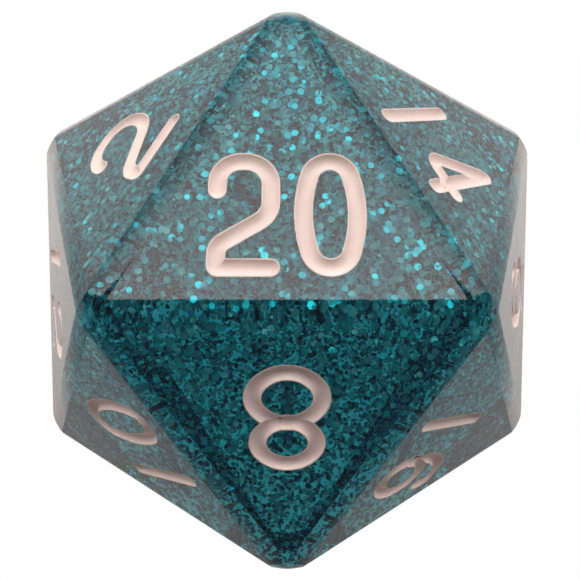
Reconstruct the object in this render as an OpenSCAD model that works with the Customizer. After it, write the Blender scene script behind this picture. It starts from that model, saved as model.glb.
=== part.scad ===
// A twenty-sided tabletop die: a clear resin casting with rounded edges, an engraved
// numeral on every face, a layer of paint in each numeral and foil glitter cast inside.
// The die rests on its face 1, so face 20 is on top. The origin is the middle of face 1,
// and +Y points from the numeral's base edge on face 20 towards the corner above it.

/* [Casting] */
// Distance between opposite faces
face_gap = 35; // [30:1:45]
// Radius that rounds the thirty edges
edge_round = 2.2; // [1.4:0.1:2.6]
// Depth that tumbling takes off each of the twelve corners
corner_wear = 0.75; // [0.65:0.05:1]

/* [Numerals] */
// Height of every digit, over its stroke
digit_height = 7.6; // [6:0.1:8]
// Width of a digit on a face that has two
narrow_width = 4.2; // [3.6:0.1:4.4]
// Width of a digit that is alone on its face
wide_width = 5.2; // [4.6:0.1:5.6]
// Distance between the middles of two digits on one face
digit_pitch = 5; // [4.6:0.1:5.4]
// Distance that a two-digit number sits below the middle of its face
pair_drop = 0.7; // [0:0.1:1]
// Distance that a single digit sits above the middle of its face
single_rise = 0.4; // [0:0.1:1]
// Width of the engraved stroke
stroke_width = 1.08; // [0.9:0.02:1.2]
// Depth of the engraving
groove_depth = 0.45; // [0.35:0.05:0.6]
// Thickness of the paint in the bottom of the engraving
paint_thickness = 0.25; // [0.1:0.05:0.3]

/* [Glitter] */
// Width of one hexagonal foil flake across its corners
flake_width = 0.5; // [0.3:0.05:0.7]
// Thickness of one flake
flake_thickness = 0.06; // [0.04:0.01:0.1]
// Number of flakes of each colour
flakes_each = 60; // [10:5:70]

/* [Hidden] */
golden = (1 + sqrt(5)) / 2;
half_edge = face_gap * sqrt(3) / (2 * golden * golden);
in_radius = face_gap / 2;
corner_radius = half_edge * sqrt(golden * golden + 1);
// Angle between a face's normal and the line to the middle of its edge
lean = 90 - acos(-sqrt(5) / 3) / 2;
// Angle at which the edge rounding meets a face, so that the crease stays crisp
crease = 3;
half_stroke = stroke_width / 2;
half_height = (digit_height - stroke_width) / 2;
narrow_half = (narrow_width - stroke_width) / 2;
wide_half = (wide_width - stroke_width) / 2;
// Largest angle between two flats of a curved stroke
turn_step = 10;
// Gap below a single 6 or 9, and half the length of the bar that marks its foot
foot_gap = 1.5;
foot_half = 1.3;
// How far the flakes of the model stay below the faces
flake_cover = 2;
// Each power of this number gives one coordinate of an even spread of flakes
spread = 1.2207440846;

// Corners in units of half an edge, with an edge facing +Z
CORNERS = [
    [-1, 0, golden], [1, 0, golden], [0, golden, 1], [0, -golden, 1],
    [-golden, 1, 0], [-golden, -1, 0], [golden, 1, 0], [golden, -1, 0],
    [0, golden, -1], [0, -golden, -1], [-1, 0, -golden], [1, 0, -golden]
];
// For each number from 1 up: the corner above the numeral, and the two on its base edge
FACES = [
    [9, 11, 10], [4, 0, 2], [7, 9, 3], [6, 2, 8], [4, 8, 10],
    [1, 6, 7], [5, 10, 9], [3, 1, 0], [6, 11, 7], [5, 3, 0],
    [6, 8, 11], [0, 5, 4], [8, 10, 11], [6, 1, 2], [4, 10, 5],
    [7, 3, 1], [5, 9, 3], [4, 2, 8], [7, 11, 9], [2, 0, 1]
];
// Each digit's strokes, as lists of [x, y, turn radius]. x and the radius are in half
// widths of the digit and y in half heights. No radius means a sharp turn or an end.
STROKES = [
    [],
    [[[0, 1, 0], [0, -1, 0]]],
    [[[-1, 0.45, 0], [-1, 1, 0.85], [1, 1, 0.95], [1, -0.02, 0.9], [-1, -0.6, 0.55],
      [-1, -1, 0], [1, -1, 0]]],
    [[[-1, 0.55, 0], [-1, 1, 0.7], [0.9, 1, 0.7], [0.9, 0.1, 0.65], [-0.2, 0.1, 0]],
     [[0.05, 0.06, 0], [1, 0.06, 0.8], [1, -1, 0.8], [-1, -1, 0.7], [-1, -0.52, 0]]],
    [[[0.85, -0.52, 0], [-1.1, -0.52, 0.4], [0.18, 0.93, 0]],
     [[0.3, 1, 0], [0.3, -1, 0]]],
    [[[0.9, 1, 0], [-0.75, 1, 0], [-0.92, -0.02, 0], [-0.4, 0.26, 0.6], [1, 0.26, 0.9],
      [1, -1, 0.95], [-1, -1, 0.7], [-1, -0.52, 0]]],
    [[[0.9, 0.66, 0], [0.9, 1, 0.5], [-0.4, 1, 0.7], [-0.95, 0.4, 2], [-0.9, -0.35, 0]]],
    [[[-1, 1, 0], [1, 1, 0], [0, 0, 2.5], [-0.35, -1, 0]]],
    [],
    []
];

function unit(v) = v / norm(v);
function left_of(v) = [-v[1], v[0]];
function fraction(x) = x - floor(x);
function reversed(list) = [for (i = [len(list) - 1:-1:0]) list[i]];
function joined(lists) = [for (list = lists) for (item = list) item];
function from_turn(centre, radius, start, sweep) =
    let (steps = max(1, ceil(abs(sweep) / turn_step)))
    [for (i = [0:steps]) centre + radius * [cos(start + sweep * i / steps), sin(start + sweep * i / steps)]];

// The wall of a stroke at one of its inner points, on the left (1) or the right (-1)
function wall_at(before, point, after, radius, side) =
    let (
        ahead = unit(point - before),
        beyond = unit(after - point),
        half = acos(-ahead * beyond) / 2,
        inward = unit(beyond - ahead),
        bend = cross(ahead, beyond) > 0 ? 1 : -1,
        is_inner = side == bend,
        centre = point + inward * radius / sin(half),
        outward = -bend * left_of(ahead)
    )
    is_inner && radius <= half_stroke
        ? [point + inward * half_stroke / sin(half)]
        : from_turn(
            centre, is_inner ? radius - half_stroke : radius + half_stroke,
            atan2(outward[1], outward[0]), bend * (180 - 2 * half)
        );

// One wall of a stroke, along all its inner points
function wall(points, radii, side) = joined([
    for (i = [1:1:len(points) - 2]) wall_at(points[i - 1], points[i], points[i + 1], radii[i], side)
]);

// The round end of a stroke that arrives at a point
function round_end(before, point) =
    let (aside = -left_of(unit(before - point)))
    from_turn(point, half_stroke, atan2(aside[1], aside[0]), -180);

// The outline of a stroke that follows the points
function outline(points, radii) = let (last = len(points) - 1) concat(
    wall(points, radii, 1),
    round_end(points[last - 1], points[last]),
    reversed(wall(points, radii, -1)),
    round_end(points[1], points[0])
);

// An oval of four arcs, half_across wide and half_up high each way from its centre
function oval(centre, half_across, half_up) =
    let (
        long = max(half_across, half_up),
        short = min(half_across, half_up),
        tip = 0.8 * short,
        flank = (short * short + pow(long - tip, 2) - tip * tip) / (2 * (short - tip)),
        join = atan2(long - tip, flank - short),
        upright = concat(
            from_turn([short - flank, 0], flank, -join, 2 * join),
            from_turn([0, long - tip], tip, join, 180 - 2 * join),
            from_turn([flank - short, 0], flank, 180 - join, 2 * join),
            from_turn([0, tip - long], tip, 180 + join, 180 - 2 * join)
        )
    )
    [for (p = upright) centre + (half_across > half_up ? left_of(p) : p)];

// A closed ring of stroke around an oval centre line
module ring(centre, half_across, half_up, thickness) {
    linear_extrude(thickness) difference() {
        polygon(oval(centre, half_across + half_stroke, half_up + half_stroke));
        polygon(oval(centre, half_across - half_stroke, half_up - half_stroke));
    }
}

// One digit about its own middle
module digit(d, half_width, thickness) {
    if (d == 0) ring([0, 0], half_width, half_height, thickness);
    if (d == 8) {
        ring([0, 0.53 * half_height], 0.87 * half_width, 0.47 * half_height, thickness);
        ring([0, -0.46 * half_height], half_width, 0.54 * half_height, thickness);
    }
    if (d == 6) ring([0, -0.39 * half_height], half_width, 0.61 * half_height, thickness);
    if (d == 9) rotate(180) digit(6, half_width, thickness);
    for (path = STROKES[d])
        linear_extrude(thickness) polygon(outline(
            [for (p = path) [p[0] * half_width, p[1] * half_height]],
            [for (p = path) p[2] * half_width]
        ));
}

// The numeral of one face about the middle of the face, in the engraving's outline
module numeral(number, thickness) {
    if (number > 9) translate([0, -pair_drop, 0]) {
        translate([-digit_pitch / 2, 0, 0]) digit(floor(number / 10), narrow_half, thickness);
        translate([digit_pitch / 2, 0, 0]) digit(number % 10, narrow_half, thickness);
    }
    else translate([0, single_rise, 0]) {
        digit(number, wide_half, thickness);
        if (number == 6 || number == 9)
            linear_extrude(thickness) polygon(outline(
                [[-foot_half, -half_height - foot_gap], [foot_half, -half_height - foot_gap]], [0, 0]
            ));
    }
}

// Turns children that have their X and Z given to the casting's own axes
module turned(x, z) {
    y = cross(z, x);
    multmatrix([
        [x[0], y[0], z[0], 0],
        [x[1], y[1], z[1], 0],
        [x[2], y[2], z[2], 0]
    ]) children();
}

// Puts children on the outside of a face, with the face's middle as origin and +Y up the numeral
module on_face(number) {
    face = FACES[number - 1];
    middle = (CORNERS[face[0]] + CORNERS[face[1]] + CORNERS[face[2]]) / 3;
    turned(unit(cross(CORNERS[face[0]] - middle, middle)), unit(middle))
        translate([0, 0, in_radius]) children();
}

// Stands the casting on its face 1
module resting() {
    translate([0, 0, in_radius]) rotate([lean, 0, 0]) children();
}

// The icosahedron before its edges are rounded, from ten pairs of opposite faces
module sharp_blank() {
    size = 3 * face_gap;
    intersection_for (number = [1:10]) on_face(number)
        translate([-size / 2, -size / 2, -face_gap]) cube([size, size, face_gap]);
}

// What the rounding takes off one edge, which runs along Z at the casting's widest in X
module edge_shaving() {
    centre = (in_radius - edge_round * cos(crease)) / cos(lean);
    difference() {
        translate([centre + edge_round * cos(lean), -edge_round, -1.1 * half_edge])
            cube([edge_round, 2 * edge_round, 2.2 * half_edge]);
        translate([centre, 0, -1.2 * half_edge]) cylinder(2.4 * half_edge, edge_round, edge_round, $fn = 96);
    }
}

// The casting before it is engraved
module blank() {
    difference() {
        intersection() {
            sharp_blank();
            sphere(corner_radius - corner_wear, $fn = 120);
        }
        for (i = [0:10], j = [i + 1:11])
            if (norm(CORNERS[i] - CORNERS[j]) < 2.01)
                turned(unit(CORNERS[i] + CORNERS[j]), unit(CORNERS[i] - CORNERS[j])) edge_shaving();
    }
}

// Flakes of one colour, spread evenly through a ball and turned every way
module flakes(colour_number) {
    ball = in_radius - flake_cover;
    for (i = [colour_number:3:3 * flakes_each - 1]) {
        up = 1 - 2 * fraction(0.5 + i / pow(spread, 2));
        around = 360 * fraction(i / pow(spread, 3));
        out = ball * pow(fraction(0.5 + i / spread), 1 / 3);
        level = sqrt(1 - up * up);
        translate([0, 0, in_radius] + out * [level * cos(around), level * sin(around), up])
            rotate([47 * i, 0, 77 * i])
                cylinder(flake_thickness, flake_width / 2, flake_width / 2, center = true, $fn = 6);
    }
}

module resin_casting() {
    color([0.1, 0.42, 0.47, 0.7]) difference() {
        resting() blank();
        resting() for (number = [1:20]) on_face(number)
            translate([0, 0, -groove_depth]) numeral(number, 2 * groove_depth);
        for (colour_number = [0:2]) flakes(colour_number);
    }
}

module bright_glitter() {
    color([0.25, 0.8, 0.86]) flakes(0);
}

module teal_glitter() {
    color([0.1, 0.5, 0.55]) flakes(1);
}

module dark_glitter() {
    color([0.02, 0.16, 0.2]) flakes(2);
}

module paint(number) {
    color([0.96, 0.86, 0.84]) resting() on_face(number)
        translate([0, 0, -groove_depth]) numeral(number, paint_thickness);
}

resin_casting();
bright_glitter();
teal_glitter();
dark_glitter();
for (number = [1:20])
    paint(number);
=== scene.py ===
"""The looks of the twenty-sided die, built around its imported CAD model.

The CAD casting, its twenty layers of paint and its three groups of glitter are replaced by
finer meshes of the same size: a clear casting whose grooves have a round bottom, paint that
lines each groove, and the thousands of flakes that the CAD's flakes stand for.
"""

import math

import bmesh
import bpy
import numpy as np
from mathutils import Matrix, Vector


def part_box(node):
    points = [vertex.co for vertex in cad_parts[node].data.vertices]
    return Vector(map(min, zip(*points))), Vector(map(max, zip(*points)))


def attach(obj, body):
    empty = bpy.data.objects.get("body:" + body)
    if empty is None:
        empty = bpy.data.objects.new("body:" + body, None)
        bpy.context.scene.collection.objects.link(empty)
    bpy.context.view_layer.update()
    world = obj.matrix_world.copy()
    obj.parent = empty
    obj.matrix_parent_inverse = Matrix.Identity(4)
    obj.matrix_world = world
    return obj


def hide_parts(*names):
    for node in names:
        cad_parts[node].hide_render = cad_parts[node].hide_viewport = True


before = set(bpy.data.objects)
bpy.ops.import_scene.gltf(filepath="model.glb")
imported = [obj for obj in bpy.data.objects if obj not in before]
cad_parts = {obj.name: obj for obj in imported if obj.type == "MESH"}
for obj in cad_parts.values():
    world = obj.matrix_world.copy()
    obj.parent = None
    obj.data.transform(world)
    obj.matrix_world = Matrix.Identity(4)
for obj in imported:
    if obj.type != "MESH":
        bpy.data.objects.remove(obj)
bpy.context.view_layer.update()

# ---------------------------------------------------------------------------------------
# Sizes, in metres, from the frame and from the CAD's driving dimensions
# ---------------------------------------------------------------------------------------
MM = 0.001
LOW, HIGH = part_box("resin_casting")
IN_RADIUS = (HIGH.z - LOW.z) / 2
GOLDEN = (1 + math.sqrt(5)) / 2
HALF_EDGE = IN_RADIUS * math.sqrt(3) / (GOLDEN * GOLDEN)
MID_RADIUS = HALF_EDGE * GOLDEN
# Angle between a face's normal and the line to the middle of its edge
LEAN = math.pi / 2 - math.acos(-math.sqrt(5) / 3) / 2
CENTRE = Vector((0, 0, IN_RADIUS))
# Across the three sides of a face, in its own plane
SIDE_ANGLES = [math.radians(30 + 120 * k) for k in range(3)]
SIDES = [Vector((math.cos(a), math.sin(a))) for a in SIDE_ANGLES]

EDGE_ROUND = 2.2 * MM
EDGE_STEPS = 12
# How far the flat of a face reaches towards each of its sides
FLAT_REACH = HALF_EDGE / math.sqrt(3) - EDGE_ROUND * math.tan(LEAN)
# The share of its height that a corner has lost, where it stands out past the flats' own corners
WEAR_SHARE = 0.45
WEAR_START = math.hypot(IN_RADIUS, 2 * FLAT_REACH)

# The digits: their size, the step from one to the next, how much lower a pair sits and how
# much higher a lone digit does, and the bar at the foot of 6 and 9
DIGIT_HEIGHT = 7.6 * MM
NARROW_WIDTH = 4.2 * MM
WIDE_WIDTH = 5.2 * MM
DIGIT_PITCH = 5.0 * MM
PAIR_DROP = 0.7 * MM
SINGLE_RISE = 0.4 * MM
STROKE_WIDTH = 1.08 * MM
FOOT_GAP = 1.5 * MM
FOOT_HALF = 1.3 * MM

# The ball-nosed cutter that makes the grooves: its radius and its centre's height above the face
CUTTER_RADIUS = 0.55 * MM
CUTTER_LIFT = 0.1 * MM
# The paint goes this far into the wall of the groove, so that no air is left between them. It
# is this thick, and stops this far below the face.
PAINT_BITE = 0.015 * MM
PAINT_SKIN = 0.07 * MM
PAINT_SINK = 0.012 * MM
# The cutter's ring of corners, the turns of its arcs, and the rings that round off its ends
RING_SIDES = 28
TURN_STEP = math.radians(7)
CAP_ANGLES = [math.radians(a) for a in (20, 40, 60, 78)]
# The radius of a sharp turn of a centre line
SHARP_TURN = 0.12 * STROKE_WIDTH
# The middle of a groove's wall is between these depths under its face, and this far or
# farther from the ends of the flat
GROOVE_RIM = 0.001 * MM
GROOVE_FLOOR = HALF_EDGE / 10
GROOVE_MARGIN = 0.05 * MM
# An edge is drawn as a crease where the casting or the paint turns by more than this
CASTING_CREASE = math.radians(32)
PAINT_CREASE = math.radians(40)

# Flakes of glitter: how many of each colour, and their width across corners
BRIGHT_COUNT, TEAL_COUNT, DARK_COUNT = 3000, 5600, 5200
FLAKE_WIDTH = 0.46 * MM
FLAKE_SIDES = 6
# A flake's or speck's own width is between these times the width given
FLAKE_SCALE = (0.8, 1.1)
# Their middles stay this far inside the resin
FLAKE_MARGIN = 0.32 * MM
# Mica dust among the flakes
DUST_COUNT = 26000
DUST_WIDTH = 0.27 * MM
DUST_SIDES = 4
# Settled flakes lie down to this far under the faces, tilted by about this many radians
BRIGHT_DEPTH, BRIGHT_TILT = 3.0 * MM, 0.15
TEAL_DEPTH, TEAL_TILT = 6.0 * MM, 0.3
# Painted light and shade: more pale glitter goes towards the lit top and back, along this way, and
# more dark glitter towards the shaded bottom and front
LIT_SIDE_WAY = (0, 0.6, 0.8)
PALE_LIT_BIAS, DARK_SHADE_BIAS = 0.8, -0.9
# A groove is checked for flakes at points this far apart, down to this far under its face
TRACK_STEP = 0.2 * MM
TRACK_REACH = 1.2 * MM
SEED = 20

# Each colour of light fades by (1 - its value here) * the density, per metre of resin
ABSORB_COLOUR = (0.0, 0.73, 0.785, 1)
ABSORB_DENSITY = 120.0

FLOOR_HALF = 1.0
# A hair's breadth, so that the floor and the face that rests on it don't coincide
FLOOR_GAP = 0.05 * MM
# How strongly the table glows at each distance behind the die, in metres
GLOW_START, GLOW_END = -0.2, 0.4
FLOOR_GLOW = (
    (-0.15, 0.0), (-0.05, 0.05), (-0.025, 0.3), (0.0, 0.5),
    (0.04, 0.85), (0.08, 1.0), (0.15, 0.8), (0.4, 0.1),
)
# The light starts this far behind straight up, as the Y of a direction, with an edge this
# soft, and is brighter from there to NEAR_END
LIGHT_EDGE = 0.21
EDGE_SOFT = 0.02
NEAR_END = 0.55
LIGHT_NEAR = 1.3
# Its levels high up, halfway up and at the horizon, and the Z of a direction at each
LIGHT_HIGH, HIGH_UP = 2.5, 0.9
LIGHT_HALF, HALF_UP = 1.45, 0.45
LIGHT_LOW, LOW_UP = 0.2, 0.05
LIGHT_COLOUR = (1.0, 0.87, 0.82, 1)
# The level all round, and the white that the camera sees behind the die
ROOM_LEVEL = 0.12
WHITE = (1, 1, 1, 1)

# The camera's height above the horizon, and its distance in half edges
CAMERA_HEIGHT = math.radians(74)
CAMERA_AWAY = 5.5

HALF_HEIGHT = (DIGIT_HEIGHT - STROKE_WIDTH) / 2
NARROW_HALF = (NARROW_WIDTH - STROKE_WIDTH) / 2
WIDE_HALF = (WIDE_WIDTH - STROKE_WIDTH) / 2

# Corners in units of half an edge, with an edge facing +Z
CORNERS = [Vector(c) for c in (
    (-1, 0, GOLDEN), (1, 0, GOLDEN), (0, GOLDEN, 1), (0, -GOLDEN, 1),
    (-GOLDEN, 1, 0), (-GOLDEN, -1, 0), (GOLDEN, 1, 0), (GOLDEN, -1, 0),
    (0, GOLDEN, -1), (0, -GOLDEN, -1), (-1, 0, -GOLDEN), (1, 0, -GOLDEN),
)]
# For each number from 1 up: the corner above the numeral, and the two on its base edge
FACES = [
    (9, 11, 10), (4, 0, 2), (7, 9, 3), (6, 2, 8), (4, 8, 10),
    (1, 6, 7), (5, 10, 9), (3, 1, 0), (6, 11, 7), (5, 3, 0),
    (6, 8, 11), (0, 5, 4), (8, 10, 11), (6, 1, 2), (4, 10, 5),
    (7, 3, 1), (5, 9, 3), (4, 2, 8), (7, 11, 9), (2, 0, 1),
]
# Each digit's strokes as lists of (x, y, turn radius). x and the radius are in half widths
# of the digit and y in half heights. No radius means a sharp turn or an end.
STROKES = {
    1: [[(0, 1, 0), (0, -1, 0)]],
    2: [[(-1, 0.45, 0), (-1, 1, 0.85), (1, 1, 0.95), (1, -0.02, 0.9), (-1, -0.6, 0.55),
         (-1, -1, 0), (1, -1, 0)]],
    3: [[(-1, 0.55, 0), (-1, 1, 0.7), (0.9, 1, 0.7), (0.9, 0.1, 0.65), (-0.2, 0.1, 0)],
        [(0.05, 0.06, 0), (1, 0.06, 0.8), (1, -1, 0.8), (-1, -1, 0.7), (-1, -0.52, 0)]],
    4: [[(0.85, -0.52, 0), (-1.1, -0.52, 0.4), (0.18, 0.93, 0)], [(0.3, 1, 0), (0.3, -1, 0)]],
    5: [[(0.9, 1, 0), (-0.75, 1, 0), (-0.92, -0.02, 0), (-0.4, 0.26, 0.6), (1, 0.26, 0.9),
         (1, -1, 0.95), (-1, -1, 0.7), (-1, -0.52, 0)]],
    6: [[(0.9, 0.66, 0), (0.9, 1, 0.5), (-0.4, 1, 0.7), (-0.95, 0.4, 2), (-0.9, -0.35, 0)]],
    7: [[(-1, 1, 0), (1, 1, 0), (0, 0, 2.5), (-0.35, -1, 0)]],
}
# Each digit's closed ovals: the middle's y and half the height, in half heights, and half
# the width, in half widths. OVAL_TIP is the radius at the ends, in halves of the short way.
OVALS = {0: [(0, 1, 1)], 6: [(-0.39, 0.61, 1)], 8: [(0.53, 0.47, 0.87), (-0.46, 0.54, 1)]}
OVAL_TIP = 0.8


# ---------------------------------------------------------------------------------------
# Centre lines of the numerals, in the plane of a face
# ---------------------------------------------------------------------------------------
def left_of(v):
    return Vector((-v.y, v.x))


def arc(centre, radius, start, sweep):
    """Points along an arc, from the angle start and through the angle sweep."""
    steps = max(2, math.ceil(abs(sweep) / TURN_STEP))
    angles = [start + sweep * i / steps for i in range(steps + 1)]
    return [centre + radius * Vector((math.cos(a), math.sin(a))) for a in angles]


def stroke_line(points, radii):
    """The centre line of a stroke, with an arc at each of its inner points."""
    line = [points[0]]
    for before, point, after, radius in zip(points, points[1:], points[2:], radii[1:]):
        ahead = (point - before).normalized()
        beyond = (after - point).normalized()
        half = math.acos(max(-1, min(1, -ahead.dot(beyond)))) / 2
        bend = 1 if ahead.cross(beyond) > 0 else -1
        radius = max(radius, SHARP_TURN)
        centre = point + (beyond - ahead).normalized() * radius / math.sin(half)
        outward = -bend * left_of(ahead)
        start = math.atan2(outward.y, outward.x)
        line += arc(centre, radius, start, bend * (math.pi - 2 * half))
    return line + [points[-1]]


def oval_line(centre, half_across, half_up):
    """A closed oval of four arcs."""
    long, short = max(half_across, half_up), min(half_across, half_up)
    tip = OVAL_TIP * short
    flank = (short**2 + (long - tip) ** 2 - tip**2) / (2 * (short - tip))
    join = math.atan2(long - tip, flank - short)
    upright = (
        arc(Vector((short - flank, 0)), flank, -join, 2 * join)[:-1]
        + arc(Vector((0, long - tip)), tip, join, math.pi - 2 * join)[:-1]
        + arc(Vector((flank - short, 0)), flank, math.pi - join, 2 * join)[:-1]
        + arc(Vector((0, tip - long)), tip, math.pi + join, math.pi - 2 * join)[:-1]
    )
    return [centre + (left_of(p) if half_across > half_up else p) for p in upright]


def digit_lines(digit, half_width):
    """The open and closed centre lines of one digit about its own middle."""
    if digit == 9:
        opened, closed = digit_lines(6, half_width)
        return [[-p for p in line] for line in opened], [[-p for p in line] for line in closed]
    opened = [
        stroke_line(
            [Vector((x * half_width, y * HALF_HEIGHT)) for x, y, _ in path],
            [radius * half_width for _, _, radius in path],
        )
        for path in STROKES.get(digit, [])
    ]
    closed = [
        oval_line(Vector((0, y * HALF_HEIGHT)), across * half_width, up * HALF_HEIGHT)
        for y, up, across in OVALS.get(digit, [])
    ]
    return opened, closed


def numeral_lines(number):
    """The open and closed centre lines of a face's numeral about the middle of the face."""
    if number > 9:
        digits = [(number // 10, -DIGIT_PITCH / 2), (number % 10, DIGIT_PITCH / 2)]
        half_width, rise = NARROW_HALF, -PAIR_DROP
    else:
        digits, half_width, rise = [(number, 0)], WIDE_HALF, SINGLE_RISE
    opened, closed = [], []
    for digit, x in digits:
        shift = Vector((x, rise))
        lines = digit_lines(digit, half_width)
        opened += [[p + shift for p in line] for line in lines[0]]
        closed += [[p + shift for p in line] for line in lines[1]]
    if number in (6, 9):
        y = rise - HALF_HEIGHT - FOOT_GAP
        opened.append([Vector((-FOOT_HALF, y)), Vector((FOOT_HALF, y))])
    return opened, closed


def stand_matrix():
    """Takes the solid of CORNERS to the row, where it stands on one of its faces."""
    return Matrix.Translation(CENTRE) @ Matrix.Rotation(LEAN, 4, "X")


def face_matrix(number):
    """Takes a face's own frame, with its middle as origin and its numeral upright, to the row."""
    top, left, right = (CORNERS[i] for i in FACES[number - 1])
    middle = (top + left + right) / 3
    z = middle.normalized()
    y = (top - middle).normalized()
    x = y.cross(z)
    axes = Matrix((x, y, z)).transposed().to_4x4()
    return stand_matrix() @ axes @ Matrix.Translation((0, 0, IN_RADIUS))


# ---------------------------------------------------------------------------------------
# Meshes
# ---------------------------------------------------------------------------------------
def new_object(name, mesh):
    made = bpy.data.objects.new(name, mesh)
    bpy.context.scene.collection.objects.link(made)
    return made


def ball_rings(ring, way):
    """The rings that round off the end of a tube past its last ring, outwards."""
    middle, along, radius = ring
    return [
        (middle + way * along * radius * math.sin(angle), along, radius * math.cos(angle))
        for angle in CAP_ANGLES
    ]


def sweep_tube(bm, line, closed, radius):
    """A round tube along a centre line, with ball ends unless it is closed."""
    count = len(line)
    rings = []
    for i, p in enumerate(line):
        back = line[i - 1] if closed or i else p
        ahead = line[(i + 1) % count] if closed or i < count - 1 else p
        rings.append((p, (ahead - back).normalized(), radius))
    if not closed:
        start, end = ball_rings(rings[0], -1), ball_rings(rings[-1], 1)
        rings = start[::-1] + rings + end
    loops = []
    for p, along, size in rings:
        side = left_of(along)
        loop = []
        for k in range(RING_SIDES):
            angle = 2 * math.pi * k / RING_SIDES
            flat = p + side * size * math.cos(angle)
            loop.append(bm.verts.new((flat.x, flat.y, CUTTER_LIFT + size * math.sin(angle))))
        loops.append(loop)
    for one, other in zip(loops, loops[1:] + loops[:1] if closed else loops[1:]):
        for k in range(RING_SIDES):
            j = (k + 1) % RING_SIDES
            bm.faces.new((one[k], one[j], other[j], other[k]))
    if not closed:
        ends = ((loops[0], line[0], -rings[0][1]), (loops[-1], line[-1], rings[-1][1]))
        for loop, end, outward in ends:
            tip = end + outward * radius
            pole = bm.verts.new((tip.x, tip.y, CUTTER_LIFT))
            for k in range(RING_SIDES):
                bm.faces.new((loop[k], loop[(k + 1) % RING_SIDES], pole))


def cutter_mesh(number):
    """The cutter's tracks for one numeral, as overlapping tubes in the face's own frame."""
    bm = bmesh.new()
    opened, closed = numeral_lines(number)
    for line in opened:
        sweep_tube(bm, line, False, CUTTER_RADIUS)
    for line in closed:
        sweep_tube(bm, line, True, CUTTER_RADIUS)
    bmesh.ops.recalc_face_normals(bm, faces=bm.faces)
    for face in bm.faces:
        face.smooth = True
    mesh = bpy.data.meshes.new("cutter")
    bm.to_mesh(mesh)
    bm.free()
    return mesh


def carved(name, base, cutter):
    """base with the cutter taken off it, as a new object. The inputs are removed."""
    step = base.modifiers.new("carve", "BOOLEAN")
    step.object = cutter
    step.operation = "DIFFERENCE"
    step.solver = "EXACT"
    step.use_self = True
    graph = bpy.context.evaluated_depsgraph_get()
    mesh = bpy.data.meshes.new_from_object(base.evaluated_get(graph))
    mesh.name = name
    bpy.data.objects.remove(base)
    bpy.data.objects.remove(cutter)
    return new_object(name, mesh)


def mark_creases(mesh, limit):
    """Keeps the shading smooth except over edges that turn by more than an angle."""
    bm = bmesh.new()
    bm.from_mesh(mesh)
    for edge in bm.edges:
        if len(edge.link_faces) == 2:
            edge.smooth = edge.calc_face_angle(0) < limit
    bm.to_mesh(mesh)
    bm.free()


def blank_casting():
    """The icosahedron with its edges and corners rounded, before it is engraved."""
    bm = bmesh.new()
    verts = [bm.verts.new(stand_matrix() @ (c * HALF_EDGE)) for c in CORNERS]
    for corners in FACES:
        bm.faces.new([verts[i] for i in corners])
    bmesh.ops.recalc_face_normals(bm, faces=bm.faces)
    bmesh.ops.bevel(
        bm, geom=list(bm.edges), offset=EDGE_ROUND * math.tan(LEAN), offset_type="OFFSET",
        segments=EDGE_STEPS, profile=0.5, affect="EDGES", clamp_overlap=True,
    )
    for vert in bm.verts:
        arm = vert.co - CENTRE
        excess = max(0, arm.length - WEAR_START)
        vert.co = CENTRE + arm.normalized() * (arm.length - WEAR_SHARE * excess)
    # Only the flats are larger than this
    flat_area = HALF_EDGE * HALF_EDGE
    for face in bm.faces:
        face.smooth = face.calc_area() < flat_area
    mesh = bpy.data.meshes.new("blank")
    bm.to_mesh(mesh)
    bm.free()
    return new_object("blank", mesh)


def build_casting():
    """The casting, with a round-bottomed groove for every numeral."""
    bm = bmesh.new()
    for number in range(1, 21):
        track = cutter_mesh(number)
        track.transform(face_matrix(number))
        bm.from_mesh(track)
        bpy.data.meshes.remove(track)
    tracks = bpy.data.meshes.new("tracks")
    bm.to_mesh(tracks)
    bm.free()
    casting = carved("clear_casting", blank_casting(), new_object("tracks", tracks))
    mark_creases(casting.data, CASTING_CREASE)
    return casting


def in_groove(face):
    """True for a wall of the groove in the flat of the face whose frame the mesh is in."""
    middle = face.calc_center_median()
    if not -GROOVE_FLOOR < middle.z < -GROOVE_RIM:
        return False
    return all(middle.xy.dot(side) < FLAT_REACH - GROOVE_MARGIN for side in SIDES)


def build_paint(number, casting):
    """The paint of one numeral: a skin on the wall of its groove, up to the rim."""
    to_face = face_matrix(number).inverted()
    bm = bmesh.new()
    bm.from_mesh(casting.data)
    bm.transform(to_face)
    rest = [face for face in bm.faces if not in_groove(face)]
    bmesh.ops.delete(bm, geom=rest, context="FACES")
    bm.normal_update()
    walls = list(bm.faces)
    rim = [edge for edge in bm.edges if edge.is_boundary]
    inner = {v: v.co + v.normal * PAINT_SKIN for v in bm.verts}
    outer = {v: v.co - v.normal * PAINT_BITE for v in bm.verts}
    skin = {v: bm.verts.new(co) for v, co in inner.items()}
    for edge in rim:
        wall = edge.link_faces[0]
        loop = next(corner for corner in wall.loops if corner.edge is edge)
        one, other = loop.vert, loop.link_loop_next.vert
        bm.faces.new((one, other, skin[other], skin[one]))
    for wall in walls:
        bm.faces.new([skin[v] for v in wall.verts])
        wall.normal_flip()
    for v, co in outer.items():
        v.co = co
    for v in bm.verts:
        v.co.z = min(v.co.z, -PAINT_SINK)
    for face in bm.faces:
        face.smooth = True
    bm.normal_update()
    bm.transform(face_matrix(number))
    mesh = bpy.data.meshes.new(f"numeral_paint_{number:02d}")
    bm.to_mesh(mesh)
    bm.free()
    mark_creases(mesh, PAINT_CREASE)
    return new_object(mesh.name, mesh)


# ---------------------------------------------------------------------------------------
# Glitter
# ---------------------------------------------------------------------------------------
def unit(vectors):
    return vectors / np.linalg.norm(vectors, axis=1)[:, None]


def face_axes():
    """Directions from the middle of the die to the middles of its faces."""
    return np.array([(face_matrix(n).to_3x3() @ Vector((0, 0, 1)))[:] for n in range(1, 21)])


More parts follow.
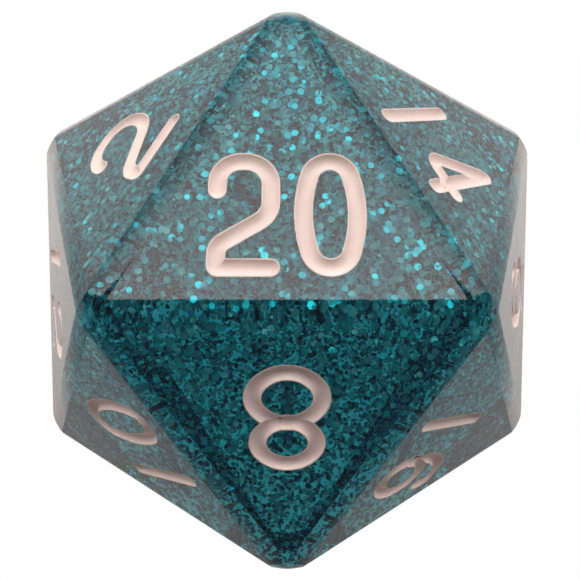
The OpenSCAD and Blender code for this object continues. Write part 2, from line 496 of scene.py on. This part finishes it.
def edge_axes():
    """Directions from the middle of the die to the middles of its edges."""
    turn = Matrix.Rotation(LEAN, 3, "X")
    pairs = [(a, b) for i, a in enumerate(CORNERS) for b in CORNERS[i + 1:]]
    # An edge is 2 long here, and any other line from corner to corner is longer
    edges = [(a, b) for a, b in pairs if (a - b).length < 2.1]
    return np.array([(turn @ (a + b)).normalized()[:] for a, b in edges])


def clear_of_grooves(points):
    """True for each point that is no closer to a groove than a flake may be."""
    clear = np.ones(len(points), dtype=bool)
    for number in range(1, 21):
        inverse = np.array(face_matrix(number).inverted())
        local = points @ inverse[:3, :3].T + inverse[:3, 3]
        opened, closed = numeral_lines(number)
        track = []
        for line in opened + [shut + shut[:1] for shut in closed]:
            for one, other in zip(line, line[1:]):
                steps = max(1, math.ceil((other - one).length / TRACK_STEP))
                track += [one.lerp(other, k / steps) for k in range(steps + 1)]
        track = np.array([(p.x, p.y, CUTTER_LIFT) for p in track])
        near = np.flatnonzero(local[:, 2] > -TRACK_REACH)
        gaps = np.linalg.norm(local[near, None] - track[None], axis=2).min(axis=1)
        clear[near[gaps < CUTTER_RADIUS + FLAKE_MARGIN]] = False
    return clear


def lit_side_kept(points, light_bias, random):
    """True for about half of the points, more of them towards the lit top and back the larger the
    bias is: painted light and shade.
    """
    share = 0.5 + 0.5 * light_bias * (points @ np.array(LIT_SIDE_WAY)) / IN_RADIUS
    return random.uniform(size=len(points)) < share


def scattered(count, random, light_bias):
    """Places for flakes all through the casting, and their normals, turned at random."""
    reach = HALF_EDGE * math.sqrt(GOLDEN * GOLDEN + 1)
    edge_reach = MID_RADIUS - EDGE_ROUND * (1 / math.cos(LEAN) - 1)
    faces, edges = face_axes(), edge_axes()
    kept = np.empty((0, 3))
    while len(kept) < count:
        points = random.uniform(-reach, reach, (6 * count, 3))
        inside = (points @ faces.T).max(axis=1) < IN_RADIUS - FLAKE_MARGIN
        inside &= (points @ edges.T).max(axis=1) < edge_reach - FLAKE_MARGIN
        inside &= np.linalg.norm(points, axis=1) < WEAR_START - FLAKE_MARGIN
        # Painted light and shade: the bias keeps more points towards the lit top and back, or
        # towards the shaded bottom and front
        inside &= lit_side_kept(points, light_bias, random)
        points = points[inside] + np.array(CENTRE)
        kept = np.concatenate([kept, points[clear_of_grooves(points)]])
    return kept[:count], unit(random.normal(size=(count, 3)))


def settled(count, random, depth, tilt):
    """Places for flakes that lie close under the faces, nearly in line with them."""
    # Only about one try in seven is inside a flat, kept by the painted light and shade bias and
    # clear of the grooves
    tries = 16 * count
    numbers = random.integers(1, 21, tries)
    flat = random.uniform(-2 * FLAT_REACH, 2 * FLAT_REACH, (tries, 2))
    inside = (flat @ np.array(SIDES).T).max(axis=1) < FLAT_REACH
    local = np.column_stack([flat, -random.uniform(FLAKE_MARGIN, depth, tries)])[inside]
    frames = np.array([face_matrix(n) for n in range(1, 21)])[numbers[inside] - 1]
    points = np.einsum("nij,nj->ni", frames[:, :3, :3], local) + frames[:, :3, 3]
    # Painted light: more of these pale flakes are kept towards the lit top and back
    kept = lit_side_kept(points - np.array(CENTRE), PALE_LIT_BIAS, random)
    points, frames = points[kept], frames[kept]
    clear = clear_of_grooves(points)
    normals = frames[clear, :3, 2][:count] + random.normal(scale=tilt, size=(count, 3))
    return points[clear][:count], unit(normals)


def flake_corners(middles, normals, width, sides, random):
    """Regular flakes of about the same width, as an array of corners."""
    across = unit(np.cross(normals, random.normal(size=normals.shape)))
    along = np.cross(normals, across)
    angles = np.arange(sides) * 2 * math.pi / sides
    cosines, sines = np.cos(angles)[None, :, None], np.sin(angles)[None, :, None]
    ring = cosines * across[:, None] + sines * along[:, None]
    radii = width / 2 * random.uniform(*FLAKE_SCALE, len(middles))
    return middles[:, None] + radii[:, None, None] * ring


def build_glitter(name, batches):
    """One piece from batches of flakes, each an array of corners."""
    sizes = np.concatenate([np.full(len(batch), batch.shape[1]) for batch in batches])
    corners = np.concatenate([batch.reshape(-1, 3) for batch in batches])
    mesh = bpy.data.meshes.new(name)
    mesh.vertices.add(len(corners))
    mesh.vertices.foreach_set("co", corners.ravel())
    mesh.loops.add(len(corners))
    mesh.loops.foreach_set("vertex_index", np.arange(len(corners)))
    mesh.polygons.add(len(sizes))
    mesh.polygons.foreach_set("loop_start", np.concatenate([[0], np.cumsum(sizes)[:-1]]))
    mesh.update(calc_edges=True)
    return new_object(name, mesh)


# ---------------------------------------------------------------------------------------
# Materials
# ---------------------------------------------------------------------------------------
class Nodes:
    """A node tree, with short ways to add and link nodes."""

    def __init__(self, tree):
        self.tree = tree

    def give(self, socket, value):
        if isinstance(value, bpy.types.NodeSocket):
            self.tree.links.new(value, socket)
        else:
            socket.default_value = value

    def add(self, kind, inputs=None, **settings):
        node = self.tree.nodes.new(kind)
        for key, value in settings.items():
            setattr(node, key, value)
        for key, value in (inputs or {}).items():
            self.give(node.inputs[key], value)
        return node

    def spread(self, value, low, high, to_low, to_high):
        inputs = {
            "Value": value, "From Min": low, "From Max": high,
            "To Min": to_low, "To Max": to_high,
        }
        return self.add("ShaderNodeMapRange", inputs).outputs["Result"]

    def combine(self, operation, *values):
        node = self.add("ShaderNodeMath", dict(enumerate(values)), operation=operation)
        return node.outputs["Value"]

    def white_to_camera(self, shader, kind, socket):
        """The shader, but plain white to the camera. kind is the white's node, socket its output."""
        seen = self.add("ShaderNodeLightPath").outputs["Is Camera Ray"]
        white = self.add(kind, {"Color": WHITE}).outputs[socket]
        return self.add("ShaderNodeMixShader", {0: seen, 1: shader, 2: white}).outputs["Shader"]


class Shader(Nodes):
    """A material's nodes. Its textures are laid out in the object's own coordinates."""

    def __init__(self, name):
        self.material = bpy.data.materials.new(name)
        self.material.use_nodes = True
        super().__init__(self.material.node_tree)
        self.principled = self.tree.nodes["Principled BSDF"]
        self.output = self.tree.nodes["Material Output"]
        self.place = self.tree.nodes.new("ShaderNodeTexCoord").outputs["Object"]

    def noise(self, per_mm, detail=3, roughness=0.5, distortion=0):
        inputs = {
            "Vector": self.place, "Scale": per_mm / MM, "Detail": detail,
            "Roughness": roughness, "Distortion": distortion,
        }
        return self.add("ShaderNodeTexNoise", inputs).outputs["Fac"]

    def ramp(self, value, stops):
        node = self.add("ShaderNodeValToRGB", {"Fac": value})
        marks = node.color_ramp.elements
        while len(marks) < len(stops):
            marks.new(0.5)
        for mark, (position, colour) in zip(marks, stops):
            mark.position = position
            mark.color = (*colour, 1)
        return node.outputs["Color"]

    def bump(self, height, distance, strength=1.0):
        inputs = {"Height": height, "Distance": distance, "Strength": strength}
        return self.add("ShaderNodeBump", inputs).outputs["Normal"]

    def set(self, **inputs):
        """Gives the main shader's inputs their values."""
        for key, value in inputs.items():
            self.give(self.principled.inputs[key.replace("_", " ")], value)


def resin_material():
    """Clear teal resin, polished, with faint waves, rubbed spots and a few fine curved scuffs."""
    s = Shader("teal_resin")
    waves = s.noise(0.25, detail=2)
    rubbed = s.spread(s.noise(0.6, detail=5, distortion=0.6), 0.5, 0.8, 0.012, 0.05)
    # A scuff runs where a slow noise crosses its middle value, inside scattered patches
    slow = s.noise(0.3, detail=0, distortion=2.0)
    across = s.combine("ABSOLUTE", s.combine("SUBTRACT", slow, 0.5))
    line = s.spread(across, 0, 0.006, 1, 0)
    patch = s.spread(s.noise(0.16), 0.54, 0.6, 0, 1)
    scuff = s.combine("MULTIPLY", line, patch)
    s.set(Transmission_Weight=1.0, IOR=1.5, Base_Color=(0.96, 1, 1, 1))
    s.set(Roughness=s.combine("ADD", rubbed, s.combine("MULTIPLY", scuff, 0.3)))
    s.set(Normal=s.bump(waves, 0.02 * MM, 0.5))
    inputs = {"Color": ABSORB_COLOUR, "Density": ABSORB_DENSITY}
    absorb = s.add("ShaderNodeVolumeAbsorption", inputs)
    s.give(s.output.inputs["Volume"], absorb.outputs["Volume"])
    return s.material


def flake_material(name, dark, light, metallic, roughness):
    """Coloured foil, a little different from flake to flake."""
    s = Shader(name)
    tone = s.noise(1.7, detail=1)
    s.set(
        Base_Color=s.ramp(tone, [(0.35, dark), (0.65, light)]), Metallic=metallic,
        Roughness=s.spread(s.noise(2.3, detail=0), 0.3, 0.7, roughness - 0.06, roughness + 0.08),
    )
    return s.material


def bright_foil():
    return flake_material("bright_foil", (0.0, 0.50, 0.62), (0.02, 0.72, 0.84), 0.85, 0.38)


def teal_foil():
    return flake_material("teal_foil", (0.05, 0.44, 0.54), (0.11, 0.64, 0.72), 0.25, 0.4)


def dark_foil():
    return flake_material("dark_foil", (0.004, 0.10, 0.17), (0.012, 0.20, 0.29), 0.3, 0.38)


def paint_material():
    """Chalky off-white paint, brushed into the grooves and wiped off the faces."""
    s = Shader("numeral_paint")
    tone = s.noise(0.9, detail=4, roughness=0.6)
    grain = s.noise(9, detail=4, roughness=0.7)
    s.set(
        Base_Color=s.ramp(tone, [(0.3, (0.90, 0.79, 0.76)), (0.7, (0.95, 0.87, 0.84))]),
        Roughness=s.spread(tone, 0.3, 0.7, 0.5, 0.62),
        Normal=s.bump(grain, 0.012 * MM, 0.6),
    )
    return s.material


# ---------------------------------------------------------------------------------------
# The table top, the light and the camera
# ---------------------------------------------------------------------------------------
def build_floor():
    """A pale table top that glows softly, most behind the die, and looks plain white."""
    bm = bmesh.new()
    bmesh.ops.create_grid(bm, x_segments=8, y_segments=8, size=FLOOR_HALF)
    mesh = bpy.data.meshes.new("table_top")
    bm.to_mesh(mesh)
    bm.free()
    floor = new_object("table_top", mesh)
    floor.location.z = -FLOOR_GAP
    s = Shader("pale_table")
    tone = s.noise(0.02, detail=3)
    depth = s.add("ShaderNodeSeparateXYZ", {"Vector": s.place}).outputs["Y"]
    share = s.spread(depth, GLOW_START, GLOW_END, 0, 1)
    length = GLOW_END - GLOW_START
    glow = s.ramp(share, [((y - GLOW_START) / length, (level,) * 3) for y, level in FLOOR_GLOW])
    s.set(
        Base_Color=s.ramp(tone, [(0.3, (0.20, 0.19, 0.185)), (0.7, (0.22, 0.21, 0.205))]),
        Roughness=0.9, Specular_IOR_Level=0.1, Emission_Color=(1, 0.90, 0.86, 1),
        Emission_Strength=glow,
    )
    shown = s.white_to_camera(s.principled.outputs["BSDF"], "ShaderNodeEmission", "Emission")
    s.give(s.output.inputs["Surface"], shown)
    floor.data.materials.append(s.material)
    return floor


def build_light():
    """A large soft light above and behind the die, which fades down to the horizon."""
    world = bpy.data.worlds.new("studio")
    world.use_nodes = True
    bpy.context.scene.world = world
    sky = Nodes(world.node_tree)
    place = sky.add("ShaderNodeTexCoord").outputs["Generated"]
    way = sky.add("ShaderNodeSeparateXYZ", {"Vector": place}).outputs
    behind = sky.spread(way["Y"], LIGHT_EDGE - EDGE_SOFT, LIGHT_EDGE + EDGE_SOFT, 0, 1)
    near = sky.spread(way["Y"], LIGHT_EDGE, NEAR_END, LIGHT_NEAR, 0)
    low = sky.spread(way["Z"], LOW_UP, HALF_UP, LIGHT_LOW, LIGHT_HALF)
    high = sky.spread(way["Z"], HALF_UP, HIGH_UP, 0, LIGHT_HIGH - LIGHT_HALF)
    level = sky.combine("ADD", low, sky.combine("ADD", high, near))
    strength = sky.combine("ADD", sky.combine("MULTIPLY", behind, level), ROOM_LEVEL)
    light = sky.add("ShaderNodeBackground", {"Color": LIGHT_COLOUR, "Strength": strength})
    shown = sky.white_to_camera(light.outputs["Background"], "ShaderNodeBackground", "Background")
    sky.give(sky.tree.nodes["World Output"].inputs["Surface"], shown)


def build_camera():
    """Looks down on the die from just in front of it."""
    data = bpy.data.cameras.new("camera")
    camera = new_object("camera", data)
    data.sensor_width = 36
    data.lens = 50.2
    data.shift_x = 0.005
    data.shift_y = -0.008
    data.clip_start = 0.001
    line = Vector((0, -math.cos(CAMERA_HEIGHT), math.sin(CAMERA_HEIGHT)))
    away = CAMERA_AWAY * HALF_EDGE * line
    camera.location = CENTRE + away
    camera.rotation_euler = (-away).to_track_quat("-Z", "Y").to_euler()
    bpy.context.scene.camera = camera
    return camera


# ---------------------------------------------------------------------------------------
# Everything together
# ---------------------------------------------------------------------------------------
def dress(piece, material, *nodes):
    """Gives a piece its material and puts it in the place of CAD nodes."""
    piece.data.materials.clear()
    piece.data.materials.append(material)
    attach(piece, "root")
    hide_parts(*nodes)


casting = build_casting()
dress(casting, resin_material(), "resin_casting")
paint = paint_material()
for number in range(1, 21):
    dress(build_paint(number, casting), paint, f"paint_{number:02d}")

random = np.random.default_rng(SEED)
places = settled(BRIGHT_COUNT, random, BRIGHT_DEPTH, BRIGHT_TILT)
bright = flake_corners(*places, FLAKE_WIDTH, FLAKE_SIDES, random)
places = settled(TEAL_COUNT, random, TEAL_DEPTH, TEAL_TILT)
teal = flake_corners(*places, FLAKE_WIDTH, FLAKE_SIDES, random)
# Painted light and shade: the dark flakes lean towards the shaded bottom and front, and the pale
# dust towards the lit top and back
places = scattered(DARK_COUNT, random, DARK_SHADE_BIAS)
dark = flake_corners(*places, FLAKE_WIDTH, FLAKE_SIDES, random)
places = scattered(DUST_COUNT, random, PALE_LIT_BIAS)
dust = flake_corners(*places, DUST_WIDTH, DUST_SIDES, random)
dress(build_glitter("bright_flakes", [bright]), bright_foil(), "bright_glitter")
dress(build_glitter("teal_flakes", [teal, dust]), teal_foil(), "teal_glitter")
dress(build_glitter("dark_flakes", [dark]), dark_foil(), "dark_glitter")

build_floor()
build_camera()
build_light()
bpy.context.scene.view_settings.view_transform = "Standard"
